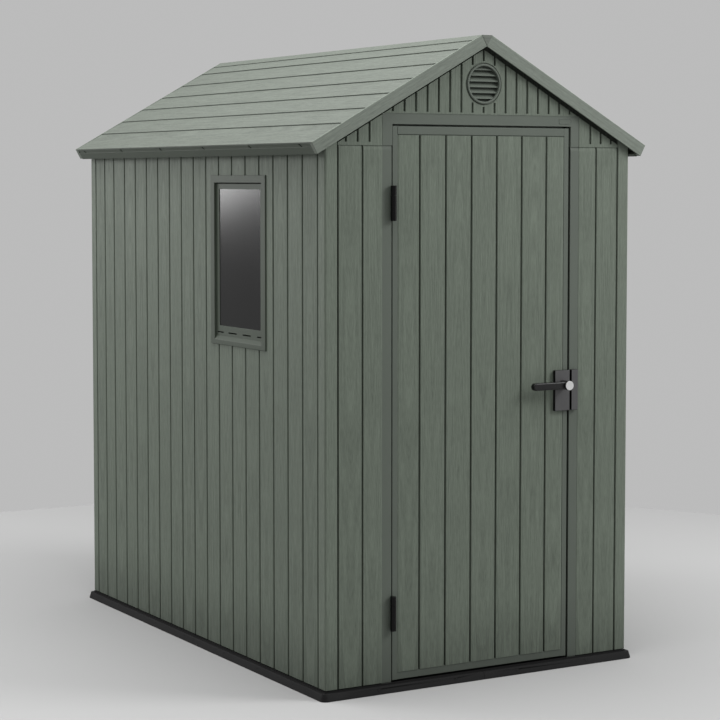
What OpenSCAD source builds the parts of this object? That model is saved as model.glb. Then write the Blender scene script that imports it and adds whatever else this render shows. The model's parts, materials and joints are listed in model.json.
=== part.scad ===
// Moulded-resin garden shed: four floor panels, panelled walls with corner posts,
// a pair of gables, a pitched roof with trims, one fixed window and one hinged door
// with a lever handle. Millimetres, +Z up, the door faces -Y, and the origin is in
// the middle of the footprint at ground level.

/* [Walls] */
// Width over the outer faces of the side walls
wall_w = 1149; // [1050:1:1600]
// Depth over the outer faces of the front and rear walls
wall_d = 1808; // [1400:1:2600]
// Thickness of every wall panel and gable
wall_t = 18; // [14:1:26]
// Width of each leg of a corner post
corner_w = 46; // [36:1:60]
// Radius of a corner post's outer edge
corner_r = 10; // [4:1:13]
// How far behind the middle the two panels of a side wall meet
side_joint = 13; // [-60:1:60]

/* [Roof] */
// Height of the roof's upper edge at the eaves
eave_h = 1710; // [1600:1:2200]
// Slope of the roof in degrees
roof_pitch = 29.2; // [25:0.1:40]
// How far the eaves stand out beyond the side walls
eave_overhang = 54.5; // [40:0.5:90]
// How far the roof stands out beyond the gables, filled by the bargeboards
verge_overhang = 18.5; // [12:0.5:40]
// Thickness of a roof slab, square to the slope
roof_t = 22; // [16:1:30]
// Thickness of an eave trim, measured along the slope
eave_trim_t = 16; // [10:1:24]
// Depth of the trims and bargeboards, square to the slope
trim_depth = 43; // [36:1:60]
// Width of the ridge cap's flat top
cap_flat_w = 41; // [24:1:60]
// Length of each wing of the ridge cap down the slope
cap_wing = 34; // [20:1:60]

/* [Floor] */
// Height of the floor panels
floor_h = 28; // [20:1:45]
// How far the floor's foot stands out beyond the walls
skirt_overhang = 18.5; // [12:0.5:40]
// How far the floor's sloping edge leans in on its way up
skirt_taper = 6; // [2:0.5:10]
// Height of the upright lip at the foot of the sloping edge
skirt_lip = 4; // [2:0.5:10]
// Corner radius of the floor's foot
skirt_r = 20; // [12:1:40]

/* [Doorway] */
// Width of the opening between the jambs
doorway_w = 680; // [600:1:760]
// Height of the doorway's head above the lower edge of the gable
head_rise = 69; // [40:1:90]
// Width of a jamb as seen from the front
jamb_w = 32; // [24:1:50]
// Depth of the jambs and the header, front to back
jamb_d = 44; // [38:1:70]
// Height of the header over the doorway
header_h = 33.5; // [24:0.5:50]
// How far the stop behind the door reaches into the opening
stop_w = 10; // [8:1:20]

/* [Door] */
// Thickness of the door
door_t = 20; // [14:1:26]
// Gap between the door and the jambs and header
door_gap = 6; // [5:0.5:9]
// Gap under the door
door_floor_gap = 7; // [5:0.5:15]
// Gap between the door's back and the stop
door_stop_gap = 6; // [5:0.5:10]

/* [Gable] */
// How far the gable's lower edge lies below the top of the side walls
seam_drop = 16.3; // [8:0.1:40]
// Radius of the vent's outer ring
vent_r = 67; // [50:1:80]
// Width of the vent's ring
vent_ring_w = 10; // [8:0.5:14]
// How far the vent's ring stands proud of the gable
vent_proud = 4; // [2:0.5:8]
// How far the vent's centre lies below the middle of the gable's triangle
vent_drop = 2; // [0:0.5:6]
// Thickness of a vent slat
slat_t = 3; // [2:0.5:5]
// Distance between vent slats
slat_pitch = 18; // [14:0.5:24]

/* [Window] */
// Width of the window over its flange
window_w = 393; // [300:1:440]
// Height of the window over its flange
window_h = 561.5; // [400:0.5:700]
// Distance from the side wall's joint to the window's rear edge
window_set = 142; // [80:1:220]
// Distance from the top of the side wall down to the window's flange
window_drop = 104.5; // [60:0.1:200]
// Width of the flange
flange_w = 26; // [20:1:34]
// How far the flange stands proud of the wall
flange_proud = 5; // [3:0.5:10]
// How far the flange laps over the wall around the opening
flange_lap = 12; // [8:1:16]
// How far the bead lies behind the wall's outer face
bead_set = 3.5; // [2:0.5:8]
// Thickness of the bead that the pane rests against
bead_t = 4; // [3:0.5:8]
// Width of the bead at the sides and the top
bead_w = 20; // [10:1:28]
// Height of the drained rail below the pane
rail_h = 37; // [20:1:50]
// Thickness of the pane
pane_t = 4; // [3:0.5:6]

/* [Hinges] */
// Radius of a hinge barrel
hinge_r = 9; // [7:0.5:12]
// Length of a hinge's outer knuckles
hinge_outer = 30; // [20:1:45]
// Length of a hinge's middle knuckle
hinge_middle = 48; // [30:1:70]
// Radius of the hinge pin
pin_r = 3; // [2:0.5:4.5]
// Thickness of a hinge leaf
leaf_t = 2; // [1.5:0.1:2.2]
// Depth of a hinge leaf on the door's edge and the jamb
leaf_d = 18; // [12:1:20]
// Height of the lower hinge above the door's lower edge
hinge_low = 158; // [80:1:260]
// Distance of the upper hinge below the door's upper edge
hinge_high = 183; // [80:1:260]

/* [Handle] */
// Height of the lever's axis above the door's lower edge
handle_up = 897; // [800:1:1100]
// Width of the plate on the door
plate_w = 58; // [50:1:70]
// Height of the plate on the door and the keeper on the jamb
plate_h = 132; // [110:1:160]
// Thickness of the plate and the keeper
plate_t = 12; // [8:1:16]
// Distance from the door's edge to the plate
plate_edge = 2; // [1:0.5:10]
// How far the plate's top lies above the lever's axis
plate_over_axis = 47; // [25:1:60]
// Width of the keeper
keeper_w = 26; // [18:1:29]
// Distance of the keeper behind the doorway's edge
keeper_edge = 0.5; // [0:0.5:3]
// Length of the lever from its axis to its tip
lever_len = 134; // [100:1:160]
// Height of the lever
lever_h = 24; // [18:1:28]
// Thickness of the lever, front to back
lever_t = 20; // [14:1:24]
// Gap between the lever and the plate
lever_off = 12; // [8:1:20]
// Radius of the hub
hub_r = 15; // [13:0.5:20]
// How far the hub stands proud of the lever's front
hub_proud = 9; // [4:1:16]
// Thickness of the hub's end cap
cap_t = 2; // [1:0.5:4]
// Radius of the spindle in the plate
spindle_r = 6; // [4:0.5:9]

/* [Fits] */
// Radial clearance of the pins and the spindle in their bores
running_fit = 0.05; // [0.02:0.01:0.1]
// Gap between the faces of pieces that turn on each other
side_play = 0.3; // [0.2:0.05:0.5]
// Clearance around pieces that are set into an opening
seat_fit = 0.3; // [0.2:0.05:1]
// Clearance between the roof slabs and the walls and trims that carry them
roof_fit = 0.1; // [0.05:0.05:0.3]

/* [Hidden] */
$fn = 64;
wall_x = wall_w / 2;
wall_y = wall_d / 2;
roof_x = wall_x + eave_overhang;
roof_y = wall_y + verge_overhang;
post_x = wall_x - corner_w;
post_y = wall_y - corner_w;
far = roof_x + roof_y + eave_h;

// Heights of the roof's upper and lower planes, and of the walls that carry it,
// at a distance from the middle
function roof_top(x) = eave_h + (roof_x - abs(x)) * tan(roof_pitch);
function roof_under(x) = roof_top(x) - roof_t / cos(roof_pitch);
function wall_top(x) = roof_under(x) - roof_fit;

// A point of the right-hand slope: up it from the eave, and down square to it
function on_slope(up, down) = [
    roof_x - up * cos(roof_pitch) - down * sin(roof_pitch),
    eave_h + up * sin(roof_pitch) - down * cos(roof_pitch)
];
function flip(points) = [for (i = [len(points) - 1:-1:0]) [-points[i][0], points[i][1]]];

cap_up = (roof_x - cap_flat_w / 2) / cos(roof_pitch) - cap_wing;
verge_tip = roof_top(0) - trim_depth / cos(roof_pitch);
seam_z = roof_under(wall_x) - seam_drop;
doorway_x = doorway_w / 2;
doorway_z = seam_z + head_rise;
header_z = doorway_z + header_h;
jamb_x = doorway_x + jamb_w;
stop_y = -wall_y + door_t + door_stop_gap;
jamb_y = -wall_y + jamb_d;
door_x = doorway_x - door_gap;
door_z = floor_h + door_floor_gap;
door_top = doorway_z - door_gap;

// The vent sits in the triangle between the header and the bargeboards
vent_z = (header_z + verge_tip * cos(roof_pitch)) / (1 + cos(roof_pitch)) - vent_drop;
vent_in = vent_r - vent_ring_w;
vent_hole = vent_r - vent_ring_w / 2;

window_top = roof_under(wall_x) - window_drop;
window_rear = side_joint - window_set;
window_mid = [window_rear - window_w / 2, window_top - window_h / 2];

hinge_x = -doorway_x + door_gap / 2;
hinge_y = -wall_y - hinge_r - 1;
hinge_len = 2 * hinge_outer + hinge_middle + 2 * side_play;
hinge_upper_z = door_top - hinge_high - hinge_len;
hinge_lower_z = door_z + hinge_low;

plate_x = door_x - plate_edge - plate_w / 2;
handle_z = door_z + handle_up;
plate_z = handle_z + plate_over_axis - plate_h;
hub_y = -wall_y - plate_t - side_play;
lever_y = -wall_y - plate_t - lever_off;
hub_front = lever_y - lever_t - hub_proud;

green = [0.40, 0.44, 0.40];
smooth_green = [0.36, 0.39, 0.35];
roof_green = [0.52, 0.56, 0.51];
black = [0.12, 0.12, 0.12];
dark_grey = [0.30, 0.30, 0.30];

// Draws an outline of X and Z from one Y to a larger one
module along_y(from, to) {
    translate([0, to, 0]) rotate([90, 0, 0]) linear_extrude(to - from) children();
}

// Takes a piece to the left or right and to the front or rear; +1 is right or rear
module side(x = 1, y = 1) {
    mirror([x < 0 ? 1 : 0, 0, 0]) mirror([0, y < 0 ? 1 : 0, 0]) children();
}

// A quarter of the floor, split along the middle lines both ways
module floor_outline(inset) {
    r = skirt_r - inset;
    x = wall_x + skirt_overhang - inset;
    y = wall_y + skirt_overhang - inset;
    square([x - r, y]);
    square([x, y - r]);
    translate([x - r, y - r]) circle(r, $fn = 32);
}

module floor_quarter() {
    color(black) hull() {
        linear_extrude(skirt_lip) floor_outline(0);
        translate([0, 0, floor_h - skirt_lip]) linear_extrude(skirt_lip) floor_outline(skirt_taper);
    }
}

// All that lies above the tops of the walls
module above_walls() {
    x = roof_x + wall_t;
    along_y(-far, far) polygon([
        [-x, wall_top(x)], [0, wall_top(0)], [x, wall_top(x)], [x, far], [-x, far]
    ]);
}

// L-shaped corner post with a rounded outer edge, its top cut to the roof's slope
module corner_post() {
    color(green) difference() {
        translate([0, 0, floor_h]) linear_extrude(eave_h + roof_x) difference() {
            union() {
                translate([post_x, post_y]) square([corner_w - corner_r, corner_w]);
                translate([post_x, post_y]) square([corner_w, corner_w - corner_r]);
                translate([wall_x - corner_r, wall_y - corner_r]) circle(corner_r);
            }
            translate([post_x - 1, post_y - 1]) square(corner_w - wall_t + 1);
        }
        above_walls();
    }
}

// A side-wall panel, its top sloped to carry the roof slab
module side_wall(from, to) {
    color(green) along_y(from, to) polygon([
        [wall_x, floor_h], [wall_x, wall_top(wall_x)],
        [wall_x - wall_t, wall_top(wall_x - wall_t)], [wall_x - wall_t, floor_h]
    ]);
}

// An upright rectangle of Y and Z, from one X to a larger one, about the window's middle
module window_block(w, h, from, to, up = 0) {
    translate([from, window_mid[0] - w / 2, window_mid[1] - h / 2 + up]) cube([to - from, w, h]);
}

module left_wall_front() {
    difference() {
        side(-1, 1) side_wall(-post_y, side_joint);
        window_block(window_w - 2 * flange_lap, window_h - 2 * flange_lap, -far, 0);
    }
}

// A panel of the front or rear wall below the gable, from one X to a larger one
module low_wall(from, to) {
    color(green) translate([from, wall_y - wall_t, floor_h]) cube([to - from, wall_t, seam_z - floor_h]);
}

// A jamb with the stop behind the door
module door_jamb() {
    color(smooth_green) translate([0, 0, floor_h]) linear_extrude(doorway_z - floor_h) polygon([
        [doorway_x, -wall_y], [jamb_x, -wall_y], [jamb_x, jamb_y],
        [doorway_x - stop_w, jamb_y], [doorway_x - stop_w, stop_y], [doorway_x, stop_y]
    ]);
}

// The header across both jambs, with its own stop between theirs
module door_header() {
    color(smooth_green) {
        translate([-jamb_x, -wall_y, doorway_z]) cube([2 * jamb_x, jamb_d, header_h]);
        translate([-doorway_x + stop_w, stop_y, doorway_z - stop_w])
            cube([doorway_w - 2 * stop_w, jamb_y - stop_y, stop_w]);
    }
}

// The vent's round opening, or a disc of the vent, on the rear gable
module vent_disc(r, from, to) {
    translate([0, to, vent_z]) rotate([90, 0, 0]) cylinder(r = r, h = to - from);
}

// A gable on the rear wall; a notch clears the jambs and header of a doorway below it
module gable(notched) {
    color(green) difference() {
        along_y(wall_y - wall_t, wall_y) polygon([
            [-post_x, seam_z], [post_x, seam_z], [post_x, wall_top(post_x)],
            [0, wall_top(0)], [-post_x, wall_top(post_x)]
        ]);
        vent_disc(vent_hole, wall_y - 2 * wall_t, wall_y + wall_t);
        if (notched)
            translate([-jamb_x, wall_y - 2 * wall_t, seam_z - 1])
                cube([2 * jamb_x, 3 * wall_t, header_z - seam_z + 1]);
    }
}

// A round louvred vent: a tube through the gable, a ring on its face and tilted slats
module vent() {
    slats = floor(vent_in / slat_pitch);
    color(smooth_green) {
        difference() {
            union() {
                vent_disc(vent_r, wall_y, wall_y + vent_proud);
                vent_disc(vent_hole - seat_fit, wall_y - wall_t, wall_y + 1);
            }
            vent_disc(vent_in, wall_y - 2 * wall_t, wall_y + wall_t);
        }
        intersection() {
            vent_disc(vent_in + 1, wall_y - wall_t, wall_y + vent_proud - 1);
            for (i = [-slats:slats])
                translate([0, wall_y - wall_t / 2 + vent_proud / 2, vent_z + i * slat_pitch])
                    rotate([-40, 0, 0]) cube([2 * vent_r, wall_t, slat_t], center = true);
        }
    }
}

// The right-hand roof slab, between the bargeboards and from the eave trim to the cap
module roof_slab() {
    from = eave_trim_t + roof_fit;
    color(roof_green) along_y(-wall_y, wall_y) polygon([
        on_slope(from, 0), on_slope(cap_up, 0), on_slope(cap_up, roof_t), on_slope(from, roof_t)
    ]);
}

// The ridge cap, with a wedge at each end between the tops of the bargeboards
module ridge_cap() {
    right = [[0, roof_under(0)], on_slope(cap_up, roof_t), on_slope(cap_up, 0)];
    top = [[cap_flat_w / 2, roof_top(cap_flat_w / 2)], [-cap_flat_w / 2, roof_top(cap_flat_w / 2)]];
    color(roof_green) {
        along_y(-wall_y, wall_y) polygon(concat(right, top, flip([right[1], right[2]])));
        along_y(-roof_y, -wall_y) polygon(concat([[0, verge_tip]], top));
        along_y(wall_y, roof_y) polygon(concat([[0, verge_tip]], top));
    }
}

module bargeboard() {
    color(green) along_y(wall_y, roof_y) polygon([
        on_slope(0, 0), [cap_flat_w / 2, roof_top(cap_flat_w / 2)],
        [0, verge_tip], on_slope(0, trim_depth)
    ]);
}

module eave_trim() {
    color(smooth_green) along_y(-wall_y, wall_y) polygon([
        on_slope(0, 0), on_slope(eave_trim_t, 0),
        on_slope(eave_trim_t, trim_depth), on_slope(0, trim_depth)
    ]);
}

// The fixed window: a flange on the wall, a sleeve through it, a bead and a lower rail
module window_frame() {
    in_w = window_w - 2 * flange_w;
    in_h = window_h - 2 * flange_w;
    hole_w = window_w - 2 * (flange_lap + seat_fit);
    hole_h = window_h - 2 * (flange_lap + seat_fit);
    back = -wall_x + bead_set + bead_t;
    color(smooth_green) {
        difference() {
            union() {
                window_block(window_w, window_h, -wall_x - flange_proud, -wall_x);
                window_block(hole_w, hole_h, -wall_x, back + pane_t);
            }
            window_block(in_w, in_h, -far, 0);
        }
        difference() {
            window_block(in_w, in_h, back - bead_t, back);
            window_block(in_w - 2 * bead_w, in_h - bead_w - rail_h, -far, 0, (rail_h - bead_w) / 2);
        }
    }
}

// The pane behind the bead, held all round by the sleeve
module window_glass() {
    back = -wall_x + bead_set + bead_t;
    color([0.35, 0.35, 0.36, 0.6])
        window_block(window_w - 2 * flange_w, window_h - 2 * flange_w, back, back + pane_t);
}

module door() {
    color(green) translate([-door_x, -wall_y, door_z]) cube([2 * door_x, door_t, door_top - door_z]);
}

// A knuckle of a hinge barrel, from a height above the hinge's lower end
module knuckle(from, length, r) {
    translate([hinge_x, hinge_y, from]) cylinder(r = r, h = length);
}

// A leaf in the gap beside the door, and webs that carry it to its own knuckles
module leaf(x, spans) {
    translate([x, hinge_y + hinge_r + 1, 0]) cube([leaf_t, leaf_d, hinge_len]);
    for (span = spans)
        translate([x, hinge_y, span[0]]) cube([leaf_t, hinge_r + 2, span[1]]);
}

module hinge_frame(z) {
    upper = hinge_len - hinge_outer;
    color(black) translate([0, 0, z]) {
        knuckle(0, hinge_outer, hinge_r);
        knuckle(upper, hinge_outer, hinge_r);
        knuckle(1, hinge_len - 2, pin_r);
        leaf(-doorway_x, [[0, hinge_outer], [upper, hinge_outer]]);
    }
}

module hinge_door(z) {
    from = hinge_outer + side_play;
    color(black) translate([0, 0, z]) difference() {
        union() {
            knuckle(from, hinge_middle, hinge_r);
            leaf(-door_x - leaf_t, [[from, hinge_middle]]);
        }
        knuckle(0, hinge_len, pin_r + running_fit);
    }
}

// The plate on the door, bored for the lever's spindle
module handle_plate() {
    color(dark_grey) difference() {
        translate([plate_x - plate_w / 2, -wall_y - plate_t, plate_z]) cube([plate_w, plate_t, plate_h]);
        spindle(spindle_r + running_fit, -wall_y - 2 * plate_t, -wall_y + 1);
    }
}

module keeper_plate() {
    color(dark_grey) translate([doorway_x - keeper_edge, -wall_y - plate_t, plate_z])
        cube([keeper_w, plate_t, plate_h]);
}

// A cylinder on the lever's axis, from one Y to a larger one
module spindle(r, from, to) {
    translate([plate_x, to, handle_z]) rotate([90, 0, 0]) cylinder(r = r, h = to - from);
}

// The lever: an arm with a round tip, a hub and the spindle that turns in the plate
module handle_lever() {
    color(black) {
        spindle(hub_r, hub_front + cap_t, hub_y);
        spindle(spindle_r, hub_y - 1, -wall_y - side_play);
        translate([plate_x - lever_len + lever_h / 2, lever_y - lever_t, handle_z - lever_h / 2])
            cube([lever_len - lever_h / 2, lever_t, lever_h]);
        translate([-lever_len + lever_h / 2, 0, 0]) spindle(lever_h / 2, lever_y - lever_t, lever_y);
    }
}

module handle_cap() {
    color([0.75, 0.75, 0.75]) spindle(hub_r, hub_front, hub_front + cap_t);
}

side(-1, -1) floor_quarter();  // floor_front_left
side(1, -1) floor_quarter();  // floor_front_right
side(-1, 1) floor_quarter();  // floor_rear_left
side(1, 1) floor_quarter();  // floor_rear_right
side(-1, -1) corner_post();  // corner_front_left
side(1, -1) corner_post();  // corner_front_right
side(-1, 1) corner_post();  // corner_rear_left
side(1, 1) corner_post();  // corner_rear_right
left_wall_front();
side(-1, 1) side_wall(side_joint, post_y);  // left_wall_rear
side_wall(-post_y, side_joint);  // right_wall_front
side_wall(side_joint, post_y);  // right_wall_rear
side(-1, -1) low_wall(jamb_x, post_x);  // front_wall_left
side(1, -1) low_wall(jamb_x, post_x);  // front_wall_right
low_wall(-post_x, 0);  // rear_wall_left
low_wall(0, post_x);  // rear_wall_right
side(-1, 1) door_jamb();  // door_jamb_left
door_jamb();  // door_jamb_right
door_header();
side(1, -1) gable(true);  // front_gable
gable(false);  // rear_gable
side(1, -1) vent();  // vent_front
vent();  // vent_rear
side(-1, 1) roof_slab();  // roof_left
roof_slab();  // roof_right
ridge_cap();
side(-1, -1) bargeboard();  // bargeboard_front_left
side(1, -1) bargeboard();  // bargeboard_front_right
side(-1, 1) bargeboard();  // bargeboard_rear_left
side(1, 1) bargeboard();  // bargeboard_rear_right
side(-1, 1) eave_trim();  // eave_trim_left
eave_trim();  // eave_trim_right
window_frame();
window_glass();
door();
hinge_frame(hinge_upper_z);  // hinge_upper_frame
hinge_door(hinge_upper_z);  // hinge_upper_door
hinge_frame(hinge_lower_z);  // hinge_lower_frame
hinge_door(hinge_lower_z);  // hinge_lower_door
handle_plate();
keeper_plate();
handle_lever();
handle_cap();
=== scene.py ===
import json
import math
from functools import partial

import bmesh
import bpy
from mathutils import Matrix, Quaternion, Vector


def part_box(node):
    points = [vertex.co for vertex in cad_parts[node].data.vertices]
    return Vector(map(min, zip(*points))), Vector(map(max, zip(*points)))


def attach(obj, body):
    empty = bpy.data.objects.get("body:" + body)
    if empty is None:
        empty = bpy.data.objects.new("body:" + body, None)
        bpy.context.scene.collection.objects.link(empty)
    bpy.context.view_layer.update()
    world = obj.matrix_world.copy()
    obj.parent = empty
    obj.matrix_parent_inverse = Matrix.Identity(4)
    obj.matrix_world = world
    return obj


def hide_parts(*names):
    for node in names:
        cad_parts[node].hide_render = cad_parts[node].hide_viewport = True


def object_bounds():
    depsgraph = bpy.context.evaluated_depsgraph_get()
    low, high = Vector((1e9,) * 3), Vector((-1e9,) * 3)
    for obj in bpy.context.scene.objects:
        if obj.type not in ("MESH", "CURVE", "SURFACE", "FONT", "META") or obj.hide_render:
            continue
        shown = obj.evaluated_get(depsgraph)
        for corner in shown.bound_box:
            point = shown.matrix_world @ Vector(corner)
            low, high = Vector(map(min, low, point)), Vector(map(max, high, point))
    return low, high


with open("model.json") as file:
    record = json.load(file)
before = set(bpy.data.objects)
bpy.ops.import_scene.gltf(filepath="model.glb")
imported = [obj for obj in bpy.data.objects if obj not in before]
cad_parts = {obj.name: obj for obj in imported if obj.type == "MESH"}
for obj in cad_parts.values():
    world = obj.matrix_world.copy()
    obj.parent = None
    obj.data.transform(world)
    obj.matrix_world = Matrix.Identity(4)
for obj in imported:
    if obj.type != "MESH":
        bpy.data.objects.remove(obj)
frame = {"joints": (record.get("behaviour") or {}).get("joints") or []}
cad_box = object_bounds()
scene = bpy.context.scene


# The studio: a pale floor under an even white surround, with soft boxes over the roof,
# to the right of the door and behind the window wall, and a small one that the pane
# mirrors. The camera stands off the front left corner, at about eye height.

SKY_STRENGTH = 0.5
FLOOR_RADIUS = 3.0
FLOOR_SIDES = 120
FLOOR_GREY = (0.35, 0.35, 0.35, 1.0)
FLOOR_ROUGHNESS = 0.9
FLOOR_SPECULAR = 0.1
CAMERA_PLACE = (-3.608, -6.321, 1.601)
CAMERA_LENS = 102.6
CAMERA_SENSOR = 36.0
CAMERA_REACH = 300.0
CAMERA_SHIFT = -0.075
CAMERA_TILT = 86.44
CAMERA_TURN = -30.23


def soft_box(name, place, aim, size, watts, roll=0.0):
    """A square lamp at a place, turned towards a point and rolled about its own axis."""
    lamp = bpy.data.lights.new(name, "AREA")
    lamp.shape = "SQUARE"
    lamp.size = size
    lamp.energy = watts
    holder = bpy.data.objects.new(name, lamp)
    holder.location = place
    holder.visible_camera = False
    turned = (Vector(aim) - Vector(place)).to_track_quat("-Z", "Y")
    turned = turned @ Quaternion((0.0, 0.0, 1.0), math.radians(roll))
    holder.rotation_euler = turned.to_euler()
    scene.collection.objects.link(holder)


def full_turn(steps):
    """The angles of points spaced evenly round a circle."""
    return [2 * math.pi * step / steps for step in range(steps)]


scene.view_settings.view_transform = "Standard"
sky = bpy.data.worlds.new("studio_surround")
sky.use_nodes = True
sky.node_tree.nodes["Background"].inputs["Color"].default_value = (1.0, 1.0, 1.0, 1.0)
sky.node_tree.nodes["Background"].inputs["Strength"].default_value = SKY_STRENGTH
scene.world = sky

soft_box("box_above", (-0.6, -0.4, 5.2), (0.0, 0.0, 1.0), size=4.0, watts=330.0)
soft_box("box_door_side", (4.0, -3.8, 4.4), (0.5, -0.9, 1.2), size=2.4, watts=260.0)
soft_box("box_door_low", (4.6, -4.4, 2.0), (0.5, -0.9, 1.0), size=2.4, watts=36.0)
soft_box("box_window_side", (-5.2, 4.6, 3.6), (-0.6, 0.6, 1.0), size=2.4, watts=172.0)
soft_box("box_window_glow", (-2.453, 3.884, 1.899), (-0.57, -0.33, 1.50),
         size=0.8, watts=25.0, roll=34.0)

ground = bpy.data.meshes.new("studio_floor")
floor_edge = [(FLOOR_RADIUS * math.cos(turn), FLOOR_RADIUS * math.sin(turn), 0.0)
              for turn in full_turn(FLOOR_SIDES)]
ground.from_pydata(floor_edge, [], [tuple(range(FLOOR_SIDES))])
floor_paint = bpy.data.materials.new("studio_floor_paint")
floor_paint.use_nodes = True
floor_shader = floor_paint.node_tree.nodes["Principled BSDF"]
floor_shader.inputs["Base Color"].default_value = FLOOR_GREY
floor_shader.inputs["Roughness"].default_value = FLOOR_ROUGHNESS
floor_shader.inputs["Specular IOR Level"].default_value = FLOOR_SPECULAR
ground.materials.append(floor_paint)
studio_floor = bpy.data.objects.new("studio_floor", ground)
scene.collection.objects.link(studio_floor)

lens = bpy.data.cameras.new("camera")
lens.sensor_width = CAMERA_SENSOR
lens.lens = CAMERA_LENS
lens.shift_y = CAMERA_SHIFT
lens.clip_end = CAMERA_REACH
camera = bpy.data.objects.new("camera", lens)
camera.location = CAMERA_PLACE
camera.rotation_euler = (math.radians(CAMERA_TILT), 0.0, math.radians(CAMERA_TURN))
scene.collection.objects.link(camera)
scene.camera = camera


# The floor: four black resin panels that clip together along the middle lines. Their
# sloping rim stands out past the walls and carries the clips' slots and thumb marks.
# Painted shade darkens the lowest part of what stands on it.

MM = 0.001
CORNERS = ((-1, -1, "front_left"), (1, -1, "front_right"), (-1, 1, "rear_left"), (1, 1, "rear_right"))
RIM_TAPER = 6 * MM
RIM_LIP = 4 * MM
RIM_CORNER = 20 * MM
RIM_EDGE = 0.8 * MM
RIM_DROP = 4.6 * MM
RIM_STEP = 18 * MM
RIM_STEPS = 9
# The height where the painted shade at the foot fades out.
PAINTED_FOOT_SHADE_TOP = 250 * MM
PANEL_GAP = 0.4 * MM
SLOT_WIDTH = 6 * MM
SLOT_DEPTH = 3 * MM
SLOT_FOOT = 13 * MM
SLOT_PITCH = 243 * MM
REAR_SLOT = 68.6 * MM
FRONT_SLOT = 239 * MM
MARK_RADIUS = 6 * MM
MARK_GROOVE = 0.9 * MM
MARK_HEIGHT = 15 * MM
MARK_STEPS = 12
MARK_TAILS = 2
MARK_END = 1.6 * MM
MARKS_LEFT = (107 * MM, 390 * MM)
MARKS_RIGHT = (130 * MM, 406 * MM)
BLACK_RESIN = (0.0095, 0.0095, 0.0096)
MOTTLE_CYCLES = (7.0, 7.0, 5.0)
MOTTLE_SPAN = (0.35, 0.65)
FINE_SHARE = 0.35
NOISE_LOW = 0.3
NOISE_HIGH = 0.7
ROUGHNESS_PLAY = 0.06
SMOOTH_UNDER = math.radians(40.0)
# Where a Mix node takes its share and its two colours, and where it gives the mixed one.
MIX_SHARE, MIX_FIRST, MIX_SECOND, MIXED = 0, 6, 7, 2


class Wire:
    """One output of a node in a material. A sum or product with it adds a Math node."""

    def __init__(self, tree, socket=None):
        self.tree = tree
        self.socket = socket

    def node(self, kind, settings, inputs, output=0):
        """A new node: its settings first, then a value or a wire for each of its sockets."""
        made = self.tree.nodes.new("ShaderNode" + kind)
        for name, value in settings.items():
            setattr(made, name, value)
        for name, value in inputs.items():
            if isinstance(value, Wire):
                self.tree.links.new(value.socket, made.inputs[name])
            else:
                made.inputs[name].default_value = value
        return Wire(self.tree, made.outputs[output] if made.outputs else None)

    def split(self):
        """The three parts of a vector."""
        parts = self.node("SeparateXYZ", {}, {"Vector": self})
        return [Wire(self.tree, parts.socket.node.outputs[axis]) for axis in ("X", "Y", "Z")]

    def math(self, operation, other):
        return self.node("Math", {"operation": operation}, {0: self, 1: other})

    def __add__(self, other):
        return self.math("ADD", other)

    def __sub__(self, other):
        return self.math("SUBTRACT", other)

    def __mul__(self, other):
        return self.math("MULTIPLY", other)

    def __pow__(self, other):
        return self.math("POWER", other)

    def spread(self, low, high, to_low=0.0, to_high=1.0):
        """The value with low to high stretched over another range, and held inside it."""
        sockets = {"From Min": low, "From Max": high, "To Min": to_low, "To Max": to_high}
        return self.node("MapRange", {}, {"Value": self, **sockets})

    def noise(self, x, y, z, detail=2.0, roughness=0.5):
        """Smooth noise at a point whose parts are already in cycles."""
        point = self.node("CombineXYZ", {}, {"X": x, "Y": y, "Z": z})
        sockets = {"Vector": point, "Scale": 1.0, "Detail": detail, "Roughness": roughness}
        return self.node("TexNoise", {"noise_dimensions": "3D"}, sockets)

    def tint(self, colour):
        """A colour as many times as bright as the value says."""
        grey = self.node("CombineColor", {}, {"Red": self, "Green": self, "Blue": self})
        ends = {MIX_SHARE: 1.0, MIX_FIRST: grey, MIX_SECOND: (*colour, 1.0)}
        return self.node("Mix", {"data_type": "RGBA", "blend_type": "MULTIPLY"}, ends, MIXED)

    def between(self, dark, light):
        """A colour from dark to light as the value goes from 0 to 1."""
        ends = {MIX_SHARE: self, MIX_FIRST: (*dark, 1.0), MIX_SECOND: (*light, 1.0)}
        return self.node("Mix", {"data_type": "RGBA"}, ends, MIXED)


def new_finish(name):
    """An empty material and the wire that its nodes are made from."""
    material = bpy.data.materials.new(name)
    material.use_nodes = True
    material.node_tree.nodes.clear()
    return material, Wire(material.node_tree)


def close_finish(wire, sockets):
    """Puts the shader and the output at the end of a material."""
    shader = wire.node("BsdfPrincipled", {}, sockets)
    wire.node("OutputMaterial", {}, {"Surface": shader})


def close_resin(wire, bright, colour, soil, height, texture, relief, roughness, specular):
    """The end of a resin's material: darker at the foot with painted shade, and embossed with its
    texture.
    """
    if soil:
        bright = bright - height.spread(floor_far.z, PAINTED_FOOT_SHADE_TOP, soil, 0.0)
    bump = wire.node("Bump", {}, {"Strength": 1.0, "Distance": relief, "Height": texture})
    close_finish(wire, {"Base Color": bright.tint(colour), "Roughness": roughness,
                        "Specular IOR Level": specular, "Normal": bump})


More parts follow.
